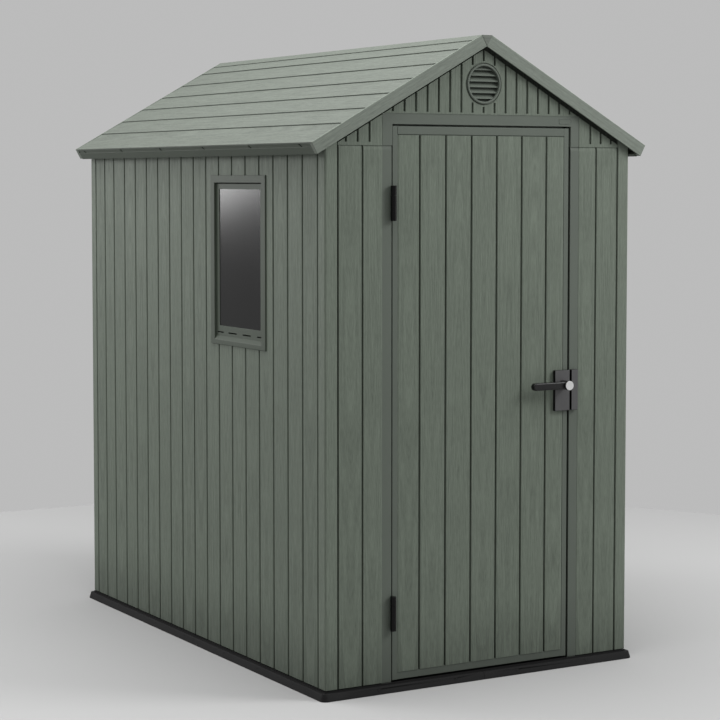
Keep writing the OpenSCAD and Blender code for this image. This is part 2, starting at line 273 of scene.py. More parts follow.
def moulded(name, colour, roughness, specular, cell, relief, mottle=0.04, soil=0.0):
    """Plain moulded resin or a powder coat: a fine even texture and a little mottling.

    The last argument is how much darker painted shade makes it at its foot.
    """
    material, wire = new_finish(name)
    x, y, z = wire.node("TexCoord", {}, {}, "Object").split()
    fine = wire.noise(x * (1 / cell), y * (1 / cell), z * (1 / cell))
    slow = [part * cycles for part, cycles in zip((x, y, z), MOTTLE_CYCLES)]
    broad = wire.noise(*slow, detail=3.0)
    tone = (fine * FINE_SHARE + broad * (1 - FINE_SHARE)).spread(*MOTTLE_SPAN)
    bright = tone * (2 * mottle) + (1 - mottle)
    gloss = fine.spread(NOISE_LOW, NOISE_HIGH, roughness - ROUGHNESS_PLAY, roughness + ROUGHNESS_PLAY)
    close_resin(wire, bright, colour, soil, z, fine, relief, gloss, specular)
    return material


def between_rings(rings, spans):
    """The faces between each ring of points and the next; the last ring may join the first."""
    count = len(rings[0])
    faces = []
    for level in range(spans):
        base = level * count
        ahead = (level + 1) % len(rings) * count
        for i in range(count):
            beside = (i + 1) % count
            faces.append((base + i, base + beside, ahead + beside, ahead + i))
    return faces


def prism(outline, place, low, high):
    """A closed solid: an outline swept from low to high, each a distance or a rule for a point."""
    reach = [[end(*point) if callable(end) else end for point in outline] for end in (low, high)]
    spots = [place(*point, at) for row in reach for point, at in zip(outline, row)]
    count = len(outline)
    sides = between_rings((outline, outline), 1)
    return spots, sides + [tuple(range(count)), tuple(range(count, 2 * count))]


def rectangle(left, foot, right, head):
    return [(left, foot), (right, foot), (right, head), (left, head)]


def as_drawn(x, y, z):
    return x, y, z


def block(low, high):
    """A box between two corners."""
    return prism(rectangle(low[0], low[1], high[0], high[1]), as_drawn, low[2], high[2])


def stacked(rings):
    """A closed solid through rings of points, each ring with as many points as the last."""
    count = len(rings[0])
    ends = [tuple(range(count)), tuple(range(count * (len(rings) - 1), count * len(rings)))]
    return [spot for ring in rings for spot in ring], ends + between_rings(rings, len(rings) - 1)


def tube(line, radius, sides):
    """A round bar along a line of points."""
    rings = []
    for i, spot in enumerate(line):
        ahead = Vector(line[min(i + 1, len(line) - 1)]) - Vector(line[max(i - 1, 0)])
        turn = ahead.to_track_quat("Z", "Y")
        ring = [turn @ Vector((math.cos(a), math.sin(a), 0.0)) * radius for a in full_turn(sides)]
        rings.append([tuple(Vector(spot) + offset) for offset in ring])
    return stacked(rings)


def shape(name, solids):
    """A new object made of closed solids."""
    body = bmesh.new()
    for spots, faces in solids:
        made = [body.verts.new(spot) for spot in spots]
        for face in faces:
            body.faces.new([made[i] for i in face])
    bmesh.ops.recalc_face_normals(body, faces=body.faces)
    mesh = bpy.data.meshes.new(name)
    body.to_mesh(mesh)
    body.free()
    made = bpy.data.objects.new(name, mesh)
    scene.collection.objects.link(made)
    return made


def settle(piece):
    """Makes a piece's modifiers part of its mesh."""
    graph = bpy.context.evaluated_depsgraph_get()
    piece.data = bpy.data.meshes.new_from_object(
        piece.evaluated_get(graph), preserve_all_data_layers=True, depsgraph=graph)
    piece.modifiers.clear()


def carve(piece, solids):
    """Cuts solids out of a piece."""
    cutter = shape("cutter", solids)
    cut = piece.modifiers.new("cut", "BOOLEAN")
    cut.operation = "DIFFERENCE"
    cut.solver = "EXACT"
    cut.object = cutter
    settle(piece)
    bpy.data.objects.remove(cutter)


def dress(piece, finish, slot, body, *nodes):
    """Smooths a piece, gives it its finish, and puts it on its body in place of its nodes."""
    piece.data.shade_smooth()
    piece.data.set_sharp_from_angle(angle=SMOOTH_UNDER)
    weigh = piece.modifiers.new("weigh", "WEIGHTED_NORMAL")
    weigh.keep_sharp = True
    settle(piece)
    piece.data.materials.clear()
    piece.data.materials.append(finish)
    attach(piece, body)
    if nodes:
        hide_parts(*nodes)


black_resin = moulded("black_resin", BLACK_RESIN, roughness=0.62, specular=0.10,
                      cell=2.2 * MM, relief=0.12 * MM, mottle=0.12)
floor_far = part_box("floor_rear_right")[1]
rim_top = floor_far.z - RIM_DROP
rim_lines = [
    (RIM_EDGE, 0.0),
    (0.0, RIM_EDGE),
    (0.0, RIM_LIP),
    (RIM_TAPER, rim_top - RIM_EDGE),
    (RIM_TAPER + RIM_EDGE, rim_top),
    (RIM_STEP, rim_top),
    (RIM_STEP, floor_far.z),
]


def quarter_turn(steps):
    return [math.radians(90 * step / steps) for step in range(steps + 1)]


def rim_ring(right, rear, inset, z):
    """The outline of one floor panel at a height."""
    radius = RIM_CORNER - inset
    x = floor_far.x - inset
    y = floor_far.y - inset
    arc = [(x - radius + radius * math.cos(turn), y - radius + radius * math.sin(turn))
           for turn in quarter_turn(RIM_STEPS)]
    ring = [(PANEL_GAP, PANEL_GAP), (x, PANEL_GAP), *arc, (PANEL_GAP, y)]
    return [(right * px, rear * py, z) for px, py in ring]


def rim_inset(z):
    """How far the rim leans in at a height."""
    return RIM_TAPER * (z - RIM_LIP) / (rim_top - RIM_EDGE - RIM_LIP)


for right, rear, corner in CORNERS:
    node = "floor_" + corner
    panel = shape(node + "_panel", [stacked([rim_ring(right, rear, *line) for line in rim_lines])])
    cuts = []
    slot_y = REAR_SLOT if rear > 0 else FRONT_SLOT
    while slot_y < floor_far.y - RIM_CORNER:
        face = floor_far.x - rim_inset(SLOT_FOOT) - SLOT_DEPTH / 2
        ends = sorted((right * face, right * (face + 2 * SLOT_DEPTH)))
        sides = sorted((rear * slot_y - SLOT_WIDTH / 2, rear * slot_y + SLOT_WIDTH / 2))
        cuts.append(block((ends[0], sides[0], SLOT_FOOT), (ends[1], sides[1], rim_top + MM)))
        slot_y += SLOT_PITCH
    for mark_x in MARKS_LEFT if right < 0 else MARKS_RIGHT:
        line = []
        for step in range(-MARK_TAILS, MARK_STEPS + MARK_TAILS + 1):
            turn = math.pi * (1 + min(max(step, 0), MARK_STEPS) / MARK_STEPS)
            climb = MARK_END * max(-step, step - MARK_STEPS, 0)
            z = MARK_HEIGHT + MARK_RADIUS * math.sin(turn) + climb
            x = right * mark_x + MARK_RADIUS * math.cos(turn)
            line.append((x, rear * (floor_far.y - rim_inset(z)), z))
        cuts.append(tube(line, MARK_GROOVE, sides=6))
    carve(panel, cuts)
    dress(panel, black_resin, "floor_resin", "shed", node)


# The corner posts: upright L-shaped mouldings in grained green-grey resin that stand on
# the floor, over a narrow dark gap, and lock the walls together. The outer edge is rounded,
# and each leg ends in half of the groove that it shares with the wall beside it.

GRAINED_GREEN = (0.1072, 0.127, 0.102)
# The posts' green is a lighter copy of the walls' green: painted light on the corners.
POST_PAINTED_LIGHT_GREEN = (0.117, 0.138, 0.1112)
GROOVE_DEPTH = 8.5 * MM
SHADE_FROM = 2.2 * MM
GROOVE_SIDE = (
    (0.0, GROOVE_DEPTH),
    (1.3 * MM, 0.96 * GROOVE_DEPTH),
    (2.3 * MM, 0.75 * GROOVE_DEPTH),
    (2.9 * MM, 0.34 * GROOVE_DEPTH),
    (3.3 * MM, 0.10 * GROOVE_DEPTH),
    (4.2 * MM, 0.0),
)
# How much painted shade darkens the colour at a groove's floor.
GROOVE_SHADE = 1.4
# How much painted shade darkens the walls, posts, door and jambs at their foot.
PAINTED_FOOT_SHADE = 0.30
FOOT_GAP = 3.2 * MM
FOOT_SET = 8 * MM
CORNER_RADIUS = 6.5 * MM
CORNER_STEPS = 6
ROOF_PITCH = math.radians(29.2)
END_FACE = 0.3
BACK_FACE = -0.5
GRAIN_CONTRAST = 0.24
GRAIN_RELIEF = 0.25 * MM
GRAIN_ROUGHNESS = 0.62
GRAIN_SPECULAR = 0.2
FIGURE_SHARE = 0.8
FIGURE_SPAN = (0.34, 0.66)
BAND_SHARE = 0.6
TONE_SPAN = (0.05, 0.95)
WANDER_WIDTH = 0.02
HEART_FIRST = 0.31
HEART_STEP = 0.618
HEART_SPACING = 2.4
HEART_SLOPE = 0.022
# Cycles a metre across the grain and along it, and a step from board to board.
WANDER = (5.0, 1.1, 3.7)
CLOUD = (9.0, 1.7, 2.9)
RING_BANDS = (260.0, 7.0, 7.3)
PORES = (520.0, 42.0, 5.9)

wall_low, wall_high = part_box("left_wall_front")
rear_low, rear_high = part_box("rear_wall_left")
wall_x = -wall_low.x
wall_y = rear_high.y
wall_thick = rear_high.y - rear_low.y
floor_top = floor_far.z
post_x = -rear_low.x
post_y = -wall_low.y


def grained(name, colour, soil=0.0):
    """Resin with wood grain embossed in it: flat-sawn figure, pores and a slow change of tone, with
    painted shade darkening the grooves.
    """
    material, wire = new_finish(name)
    grain = wire.node("Attribute", {"attribute_name": "grain"}, {}, "Vector")
    across, along, board = grain.split()

    def pattern(first, cycles, detail=2.0, rough=0.5):
        """Noise with its own number of cycles a metre each way, and different on each board."""
        return wire.noise(first * cycles[0], along * cycles[1], board * cycles[2], detail, rough)

    drift = across + (pattern(across, WANDER) - 0.5) * WANDER_WIDTH
    heart = wire.node("Math", {"operation": "FRACT"}, {0: board * HEART_STEP + HEART_FIRST})
    rise = (along - heart * HEART_SPACING) * HEART_SLOPE
    ring = (drift * drift + rise * rise) ** 0.5
    bands = pattern(ring, RING_BANDS, detail=3.0, rough=0.65) * BAND_SHARE
    figure = (bands + pattern(drift, PORES) * (1 - BAND_SHARE)).spread(*FIGURE_SPAN)
    sunk = wire.node("Attribute", {"attribute_name": "sunk"}, {}, "Fac")
    cloud = pattern(across, CLOUD) * (1 - FIGURE_SHARE)
    # Painted shade: the colour darkens with depth in the grooves and other recesses.
    tone = (figure * FIGURE_SHARE + cloud).spread(*TONE_SPAN) - sunk * GROOVE_SHADE
    bright = tone * (2 * GRAIN_CONTRAST) + (1 - GRAIN_CONTRAST)
    gloss = figure.spread(0.0, 1.0, GRAIN_ROUGHNESS + ROUGHNESS_PLAY, GRAIN_ROUGHNESS - ROUGHNESS_PLAY)
    close_resin(wire, bright, colour, soil, along, figure, GRAIN_RELIEF, gloss, GRAIN_SPECULAR)
    return material


def groove_share(below):
    """How near a corner at a depth below the face is to a groove's floor, from 0 to 1."""
    return min(max((below - SHADE_FROM) / (GROOVE_DEPTH - SHADE_FROM), 0.0), 1.0)


def lay_grain(piece, along, across=(1, 0, 0), joints=(), out=None):
    """Writes where each corner lies on its board: across it, along it, and the board's number.

    Where out points away from the face, it also writes how deep in a groove a corner lies, which the
    resin's colour turns into painted shade.
    """
    mesh = piece.data
    mesh.attributes.new("grain", "FLOAT_VECTOR", "CORNER")
    mesh.attributes.new("sunk", "FLOAT", "CORNER")
    grain = mesh.attributes["grain"]
    sunk = mesh.attributes["sunk"]
    out = Vector(out or (0, 0, 0))
    face_level = max(vertex.co.dot(out) for vertex in mesh.vertices)
    along = Vector(along).normalized()
    across = Vector(across).normalized()
    for face in mesh.polygons:
        side = face.normal.cross(along)
        if side.length < END_FACE:
            side = across - along * across.dot(along)
        side.normalize()
        at = face.center.dot(across)
        board = sum(at > joint for joint in joints)
        near = joints[max(board - 1, 0):board + 1]
        middle = across * (sum(near) / len(near)) if near else across * at
        for corner in face.loop_indices:
            spot = mesh.vertices[mesh.loops[corner].vertex_index].co
            offset = (spot - middle).dot(side) if joints else spot.dot(side)
            grain.data[corner].vector = (offset, spot.dot(along), board)
            if face.normal.dot(out) > BACK_FACE:
                sunk.data[corner].value = groove_share(face_level - spot.dot(out))


def wall_top(x):
    """The height of the walls' tops, which slope up to the ridge."""
    return wall_high.z + (wall_x - wall_thick - abs(x)) * math.tan(ROOF_PITCH)


def shade_post_grooves(post, right, rear):
    """The painted shade in a post's grooves: a post has two faces, so a corner's depth is taken from
    the nearer one.
    """
    sunk = post.data.attributes["sunk"]
    for face in post.data.polygons:
        for corner in face.loop_indices:
            spot = post.data.vertices[post.data.loops[corner].vertex_index].co
            depth = min(wall_x - right * spot.x, wall_y - rear * spot.y)
            at_end = max(right * spot.x < post_x + GROOVE_SIDE[-1][0],
                         rear * spot.y < post_y + GROOVE_SIDE[-1][0])
            sunk.data[corner].value = at_end * groove_share(depth)


# The walls' and the door's resin, with painted shade in the grooves and at the foot.
green_resin = grained("green_resin", GRAINED_GREEN, PAINTED_FOOT_SHADE)
# A lighter copy of the walls' resin, painted light on the corner posts.
post_resin = grained("post_resin", POST_PAINTED_LIGHT_GREEN, PAINTED_FOOT_SHADE)
leg = wall_x - post_x
post_outline = [(leg, wall_thick), (wall_thick, wall_thick), (wall_thick, leg)]
post_outline += [(depth, leg - side) for side, depth in GROOVE_SIDE]
post_outline += [(CORNER_RADIUS * (1 - math.cos(turn)), CORNER_RADIUS * (1 - math.sin(turn)))
                 for turn in quarter_turn(CORNER_STEPS)]
post_outline += [(leg - side, depth) for side, depth in reversed(GROOVE_SIDE)]
post_foot = [(-MM, -MM), (leg + MM, -MM), (leg + MM, FOOT_SET), (FOOT_SET, FOOT_SET),
             (FOOT_SET, leg + MM), (-MM, leg + MM)]

for right, rear, corner in CORNERS:
    node = "corner_" + corner

    def post_place(a, b, z):
        return right * (wall_x - a), rear * (wall_y - b), z

    solid = prism(post_outline, post_place, floor_top, lambda a, b: wall_top(wall_x - a))
    post = shape(node + "_post", [solid])
    carve(post, [prism(post_foot, post_place, floor_top - MM, floor_top + FOOT_GAP)])
    lay_grain(post, (0, 0, 1))
    shade_post_grooves(post, right, rear)
    dress(post, post_resin, "grained_resin", "shed", node)


# The walls: double-skinned resin panels moulded as upright boards with V-grooves between
# them. A side wall is two panels that meet a little behind the middle, and the left front
# one has the window's opening. The low panels beside the door end in a soft edge.

PANEL_BOARDS = 9
NARROW_BOARD = 84.5 * MM
SOFT_EDGE = (
    (0.0, 1.4 * MM),
    (0.8 * MM, 0.7 * MM),
    (2.0 * MM, 0.2 * MM),
    (3.6 * MM, 0.0),
)
WIDE_SHARE = 1.35
WIDE_GROOVE = tuple((WIDE_SHARE * side, depth) for side, depth in GROOVE_SIDE)
FRONT_GROOVE = 442 * MM
REAR_BOARDS = 6
TOP_COVE = ((16 * MM, 0.4 * MM), (8 * MM, 1.2 * MM), (2.0 * MM, 2.3 * MM), (0.0, 2.8 * MM))
WINDOW_LAP = 12 * MM
SEAM_LAP = 3 * MM


def board_line(edges, first, last, between=GROOVE_SIDE):
    """The face of a row of boards: the groove or edge at each board's end, across and deep."""
    line = []
    for start, end in zip(edges, edges[1:]):
        opening = first if start == edges[0] else between
        closing = last if end == edges[-1] else between
        line += [(start + side, depth) for side, depth in opening]
        line += [(end - side, depth) for side, depth in reversed(closing)][:-1]
    line.append((edges[-1], last[0][1]))
    return line


def panel_outline(edges, first, last, between=GROOVE_SIDE):
    """A panel's section: the row of boards and the flat back."""
    face = board_line(edges, first, last, between)
    return face + [(edges[-1], wall_thick), (edges[0], wall_thick)]


def side_spot(sign, across, depth, z):
    """A place on the left or right wall: along it, in from its face, and up."""
    return sign * (wall_x - depth), across, z


def end_spot(sign, across, depth, z):
    """A place on the front or rear wall, told in the same way."""
    return across, sign * (wall_y - depth), z


left_place, right_place = partial(side_spot, -1), partial(side_spot, 1)
front_place, rear_place = partial(end_spot, -1), partial(end_spot, 1)


def even_edges(start, end, count):
    return [start + (end - start) * i / count for i in range(count + 1)]


def foot_cut(place, start, end, depth=FOOT_SET):
    """What is cut away along a panel's foot, which leaves a dark gap over the floor's rim."""
    corners = rectangle(start - MM, -MM, end + MM, depth)
    return prism(corners, place, floor_top - MM, floor_top + FOOT_GAP)


def dress_boards(panel, node, place, edges, across):
    """Lays the grain on upright boards and dresses them in the walls' resin."""
    lay_grain(panel, (0, 0, 1), across, edges, Vector(place(0, -1, 0)) - Vector(place(0, 0, 0)))
    dress(panel, green_resin, "grained_resin", "shed", node)


side_joint = wall_high.y
front_edges = even_edges(-post_y, side_joint, PANEL_BOARDS)
rear_edges = even_edges(side_joint, post_y - 2 * NARROW_BOARD, PANEL_BOARDS - 2)
rear_edges += [post_y - NARROW_BOARD, post_y]

for node, edges, place in (
    ("left_wall_front", front_edges, left_place),
    ("left_wall_rear", rear_edges, left_place),
    ("right_wall_front", front_edges, right_place),
    ("right_wall_rear", rear_edges, right_place),
):
    outline = panel_outline(edges, WIDE_GROOVE, WIDE_GROOVE, WIDE_GROOVE)
    panel = shape(node + "_panel", [
        prism(outline, place, floor_top, lambda across, depth: wall_top(wall_x - depth))])
    carve(panel, [foot_cut(place, edges[0], edges[-1])])
    if node == "left_wall_front":
        low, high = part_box("window_frame")
        lap = Vector((0, WINDOW_LAP, WINDOW_LAP))
        reach = Vector((wall_thick, 0, 0))
        carve(panel, [block(low + lap - reach, high - lap + reach)])
    dress_boards(panel, node, place, edges, (0, 1, 0))

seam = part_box("front_wall_left")[1].z + SEAM_LAP
jamb_outer = -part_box("front_wall_left")[1].x
rear_row = even_edges(-post_x, post_x, 2 * REAR_BOARDS)


def low_panel(outline, place, top, cove=TOP_COVE):
    """A panel whose face leans back below its top edge, under the gable that overlaps it."""
    levels = [(floor_top, cove[0][1])] + [(top - below, depth) for below, depth in cove]
    rings = []
    for z, set_back in levels:
        rings.append([place(across, max(depth, set_back), z) for across, depth in outline])
    return stacked(rings)


for node, edges, place, first, last in (
    ("front_wall_left", [-post_x, -FRONT_GROOVE, -jamb_outer], front_place, GROOVE_SIDE, SOFT_EDGE),
    ("front_wall_right", [jamb_outer, FRONT_GROOVE, post_x], front_place, SOFT_EDGE, GROOVE_SIDE),
    ("rear_wall_left", rear_row[:REAR_BOARDS + 1], rear_place, GROOVE_SIDE, GROOVE_SIDE),
    ("rear_wall_right", rear_row[REAR_BOARDS:], rear_place, GROOVE_SIDE, GROOVE_SIDE),
):
    panel = shape(node + "_panel", [low_panel(panel_outline(edges, first, last), place, seam)])
    carve(panel, [foot_cut(place, edges[0], edges[-1])])
    dress_boards(panel, node, place, edges, (1, 0, 0))


# The doorway: smooth resin jambs and a header that frame the door. Behind the door a stop
# runs round the opening. Above the seam the jambs widen over the gap beside the door, and
# the header carries a small blank badge.

SMOOTH_GREEN = (0.086, 0.100, 0.084)
JAMB_SET = 1.1 * MM
JAMB_EDGE = 1.2 * MM
HEAD_EDGE = 0.5 * MM
ARCH_EDGE = 0.4 * MM
LIP_EDGE = 0.6 * MM
LIP_LEFT = 4.5 * MM
LIP_RIGHT = 0.5 * MM
LIP_LOW = 2.0 * MM
LIP_THICK = 4 * MM
LIP_FOOT = 0.6 * LIP_THICK
REVEAL = 5 * MM
ARCH_JOINT = 1.6 * MM
STOP_REACH = 10 * MM
STOP_DEPTH = 18 * MM
BADGE_SIZE = (50 * MM, 17 * MM)
BADGE_PLACE = (317.5 * MM, 1784.5 * MM)
BADGE_PROUD = 1.1 * MM
BADGE_RIM = 2.2 * MM
BADGE_EDGE = 0.4 * MM
BADGE_ROUND = 0.8
BADGE_FIELD = 0.2 * MM


def rounded(points, radius, steps=3):
    """An outline with its corners turned into short curves; radius is one number or one a corner."""
    made = []
    for i, corner in enumerate(points):
        size = radius[i] if isinstance(radius, (list, tuple)) else radius
        if not size:
            made.append(tuple(corner))
            continue
        corner = Vector(corner)
        before = (Vector(points[i - 1]) - corner).normalized()
        after = (Vector(points[(i + 1) % len(points)]) - corner).normalized()
        reach = size / math.tan(before.angle(after) / 2)
        for k in range(steps + 1):
            s = k / steps
            curve = (corner + before * reach) * (1 - s) ** 2
            curve += corner * 2 * s * (1 - s) + (corner + after * reach) * s ** 2
            made.append(tuple(curve))
    return made


def ease(piece, radius, steps=2, over=30.0):
    """Rounds a piece's edges."""
    rounding = piece.modifiers.new("rounding", "BEVEL")
    rounding.width = radius
    rounding.segments = steps
    rounding.limit_method = "ANGLE"
    rounding.angle_limit = math.radians(over)
    settle(piece)


# The jambs are darker at their foot with painted shade too.
smooth_resin = moulded("smooth_resin", SMOOTH_GREEN, roughness=0.55, specular=0.2,
                       cell=1.6 * MM, relief=0.05 * MM, soil=PAINTED_FOOT_SHADE)
jamb_low, jamb_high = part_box("door_jamb_right")
doorway_x = jamb_low.x + STOP_REACH
jamb_deep = jamb_high.y + wall_y
head_z = jamb_high.z
header_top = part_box("door_header")[1].z


def upright_place(x, z, y):
    return x, y, z


def jamb_outline(inner):
    """A jamb's section: the face, the stop behind the door, and a hollow behind the face's lip."""
    corners = [
        (inner, JAMB_SET),
        (jamb_outer, JAMB_SET),
        (jamb_outer, jamb_deep),
        (jamb_low.x, jamb_deep),
        (jamb_low.x, jamb_deep - STOP_DEPTH),
        (inner + REVEAL, jamb_deep - STOP_DEPTH),
        (inner + REVEAL, JAMB_SET + LIP_THICK),
        (inner, JAMB_SET + LIP_THICK),
    ]
    return rounded(corners, [JAMB_EDGE, 0, 0, JAMB_EDGE, JAMB_EDGE, 0, 0, LIP_EDGE])


for sign, node in ((-1, "door_jamb_left"), (1, "door_jamb_right")):
    def jamb_place(across, depth, z):
        return front_place(sign * across, depth, z)

    cove = [(below, JAMB_SET + depth) for below, depth in TOP_COVE]
    inner = doorway_x - (LIP_LOW if sign < 0 else LIP_RIGHT)
    jamb = shape(node + "_moulding", [low_panel(jamb_outline(inner), jamb_place, seam, cove)])
    carve(jamb, [foot_cut(jamb_place, inner, jamb_outer, JAMB_SET + LIP_FOOT)])
    dress(jamb, smooth_resin, "smooth_resin", "shed", node)

arch = [
    (ARCH_JOINT - jamb_outer, seam), (-doorway_x + LIP_LEFT, seam), (-doorway_x + LIP_LEFT, head_z),
    (doorway_x - LIP_RIGHT, head_z), (doorway_x - LIP_RIGHT, seam), (jamb_outer, seam),
    (jamb_outer, header_top), (ARCH_JOINT - jamb_outer, header_top),
]
arch = rounded(arch, [ARCH_EDGE, *[JAMB_EDGE] * 4, 0, 0, ARCH_EDGE])
jamb_back = -wall_y + jamb_deep
head_surround = shape("door_header_moulding", [
    prism(arch, upright_place, -wall_y + JAMB_SET, jamb_back - STOP_DEPTH)])
ease(head_surround, HEAD_EDGE)
dress(head_surround, smooth_resin, "smooth_resin", "shed", "door_header")
head_stop = shape("door_header_stop", [
    block((-jamb_low.x, jamb_back - STOP_DEPTH, head_z - STOP_REACH),
          (jamb_low.x, jamb_back, header_top))])
ease(head_stop, JAMB_EDGE)
dress(head_stop, smooth_resin, "smooth_resin", "shed")


def badge_spot(a, b, y):
    return BADGE_PLACE[0] + a, y, BADGE_PLACE[1] + b


half_w, half_h = BADGE_SIZE[0] / 2, BADGE_SIZE[1] / 2
header_face = -wall_y + JAMB_SET
badge_outline = rounded(rectangle(-half_w, -half_h, half_w, half_h), BADGE_ROUND * half_h, steps=6)
badge = shape("header_badge", [
    prism(badge_outline, badge_spot, header_face - BADGE_PROUD, header_face + MM)])
inset = [(a * (1 - BADGE_RIM / half_w), b * (1 - BADGE_RIM / half_h)) for a, b in badge_outline]
carve(badge, [prism(inset, badge_spot, -wall_y - 2 * BADGE_PROUD, header_face - BADGE_FIELD)])
ease(badge, BADGE_EDGE)
dress(badge, smooth_resin, "smooth_resin", "shed")


# The gables: one grained resin plate at each end, with narrow grooves that stop short of
# its lower edge, of the header and of the round vent. The front one is notched for the
# doorway. Each rests on the low walls and rises to the roof.

GABLE_PITCH = 41.75 * MM
RIDGE_HALF = 20.5 * MM
GABLE_GROOVES = 12
JAMB_CLEAR = GABLE_PITCH / 3
GABLE_FOOT = 10.5 * MM
HEADER_FOOT = 5.5 * MM
GAP_FROM = 20 * MM
GAP_TO = 49 * MM
GAP_DEPTH = 11 * MM
VENT_CLEAR = 5 * MM
VENT_WALL = 5 * MM
SEAT_DEPTH = 3 * MM
ROUND_STEPS = 64

vent_low, vent_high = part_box("vent_front")
vent_z = (vent_low.z + vent_high.z) / 2
vent_radius = (vent_high.z - vent_low.z) / 2
gable_top = wall_top(0)
roof_top = cad_box[1].z + RIDGE_HALF * math.tan(ROOF_PITCH)


def under_roof(x, down):
    """The height of a line under the roof's face and square to it, at a place across the gable."""
    return roof_top - abs(x) * math.tan(ROOF_PITCH) - down / math.cos(ROOF_PITCH)


shadow_gap = [(x, under_roof(x, GAP_TO)) for x in (-wall_x, 0, wall_x)]
shadow_gap += [(x, under_roof(x, GAP_FROM)) for x in (wall_x, 0, -wall_x)]


def vent_hole(place):
    """The vent's stepped opening: a shallow seat for the ring's rim, then the hole itself."""
    levels = [(vent_radius, -MM), (vent_radius, SEAT_DEPTH),
              (vent_radius - VENT_WALL, SEAT_DEPTH), (vent_radius - VENT_WALL, 2 * wall_thick)]
    return stacked([[place(r * math.cos(turn), vent_z + r * math.sin(turn), depth)
                     for turn in full_turn(ROUND_STEPS)] for r, depth in levels])


def groove_section(x):
    """A V-groove's section at a place across the gable, as widths and depths."""
    right = [(x + side, depth) for side, depth in reversed(GROOVE_SIDE)]
    left = [(x - side, depth) for side, depth in GROOVE_SIDE[1:]]
    return [(left[-1][0], -MM), (right[0][0], -MM), *right, *left]


joints = [k * GABLE_PITCH for k in range(-GABLE_GROOVES, GABLE_GROOVES + 1)]
clear = vent_radius + VENT_CLEAR

for node, place, notched in (("front_gable", front_place, True), ("rear_gable", rear_place, False)):
    flat = [(-post_x, seam), (post_x, seam), (post_x, wall_top(post_x)), (0, gable_top),
            (-post_x, wall_top(post_x))]
    if notched:
        flat[1:1] = [(-jamb_outer, seam), (-jamb_outer, header_top), (jamb_outer, header_top),
                     (jamb_outer, seam)]

    def upright(across, z, depth):
        return place(across, depth, z)

    gable = shape(node + "_plate", [prism(flat, upright, 0.0, wall_thick)])
    cuts = []
    for x in joints:
        at_jamb = notched and abs(abs(x) - jamb_outer) < JAMB_CLEAR
        over_door = notched and abs(x) < jamb_outer
        foot = header_top + HEADER_FOOT if over_door else seam + GABLE_FOOT
        stops = [(foot, wall_top(x) + GABLE_FOOT)]
        if abs(x) < clear:
            half = math.sqrt(clear ** 2 - x ** 2)
            stops = [(foot, vent_z - half), (vent_z + half, wall_top(x) + GABLE_FOOT)]
        for low, high in stops:
            if high - low > GABLE_FOOT and not at_jamb:
                cuts.append(prism(groove_section(x), place, low, high))
    carve(gable, cuts)
    carve(gable, [vent_hole(upright)])
    carve(gable, [prism(shadow_gap, upright, -MM, GAP_DEPTH)])
    dress_boards(gable, node, place, joints, (1, 0, 0))


# The vents: round louvres snapped into the gables, moulded in one piece. A rounded ring
# covers the edge of the opening and tilted slats keep the rain out.

RING_WIDTH = 11 * MM
RING_GROOVE = 3.8 * MM
RING_ROUNDING = [2.5 * MM, 3 * MM, 0, 0, 0.5 * MM, 0.5 * MM]
SLEEVE_PLAY = 0.3 * MM
SLAT_PITCH = 18 * MM
SLAT_DROP = 1.5 * MM
SLAT_THICK = 2.6 * MM
SLAT_EDGE = 1.4 * MM
SLAT_TILT = math.radians(48)
SLAT_LENGTH = 25 * MM
SLAT_BACK = 9.3 * MM


def hooped(rings):
    """A closed solid through rings of points, the last of which joins the first."""
    return [spot for ring in rings for spot in ring], between_rings(rings, len(rings))


def spun(profile, place, steps=ROUND_STEPS):
    """A solid of revolution: a closed profile of radius and height turned about an axis."""
    return hooped([[place(r * math.cos(turn), r * math.sin(turn), t) for r, t in profile]
                   for turn in full_turn(steps)])


slat_section = rounded(rectangle(-SLAT_LENGTH / 2, -SLAT_THICK / 2, SLAT_LENGTH / 2, SLAT_THICK / 2),
                       SLAT_EDGE)

for node, outward in (("vent_front", -1), ("vent_rear", 1)):
    low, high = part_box(node)
    proud = (high.y - low.y) - wall_thick

    def vent_place(x, z, t):
        return x, outward * (wall_y + t), vent_z + z

    inner = vent_radius - RING_WIDTH
    sleeve = vent_radius - VENT_WALL - SLEEVE_PLAY
    rim = vent_radius - RING_GROOVE
    ring = [(inner, proud), (rim, proud), (rim, -SEAT_DEPTH), (sleeve, -SEAT_DEPTH),
            (sleeve, -wall_thick), (inner, -wall_thick)]
    solids = [spun(rounded(ring, RING_ROUNDING, steps=5), vent_place)]

    def slat_end(z, t):
        return math.sqrt(max((inner + MM) ** 2 - z ** 2, 0.0))

    slats = int(inner / SLAT_PITCH)
    for k in range(-slats, slats + 1):
        middle = k * SLAT_PITCH - SLAT_DROP
        tilted = [(middle + b * math.cos(SLAT_TILT) - a * math.sin(SLAT_TILT),
                   a * math.cos(SLAT_TILT) + b * math.sin(SLAT_TILT) - SLAT_BACK)
                  for a, b in slat_section]
        solids.append(prism(tilted, lambda z, t, x: vent_place(x, z, t),
                            lambda z, t: -slat_end(z, t), slat_end))
    vent = shape(node + "_louvre", solids)
    dress(vent, smooth_resin, "smooth_resin", "shed", node)


# The window: a fixed clear pane in a smooth resin frame. The frame's flange laps over the
# wall, its sleeve lines the opening, and a bead holds the pane. The bead's lower rail has
# four drain slots above a sloping sill.

FLANGE_SIDE = 28 * MM
FLANGE_HEAD = 24 * MM
FLANGE_FOOT = 16 * MM
SILL_RISE = 13 * MM
BEAD_WIDTH = 21 * MM
BEAD_SET = 3.5 * MM
BEAD_FOOT = 1111.6 * MM
PANE_SET = 2.2 * MM
DRAIN_Z = 1089.5 * MM
DRAIN_HEIGHT = 4.4 * MM
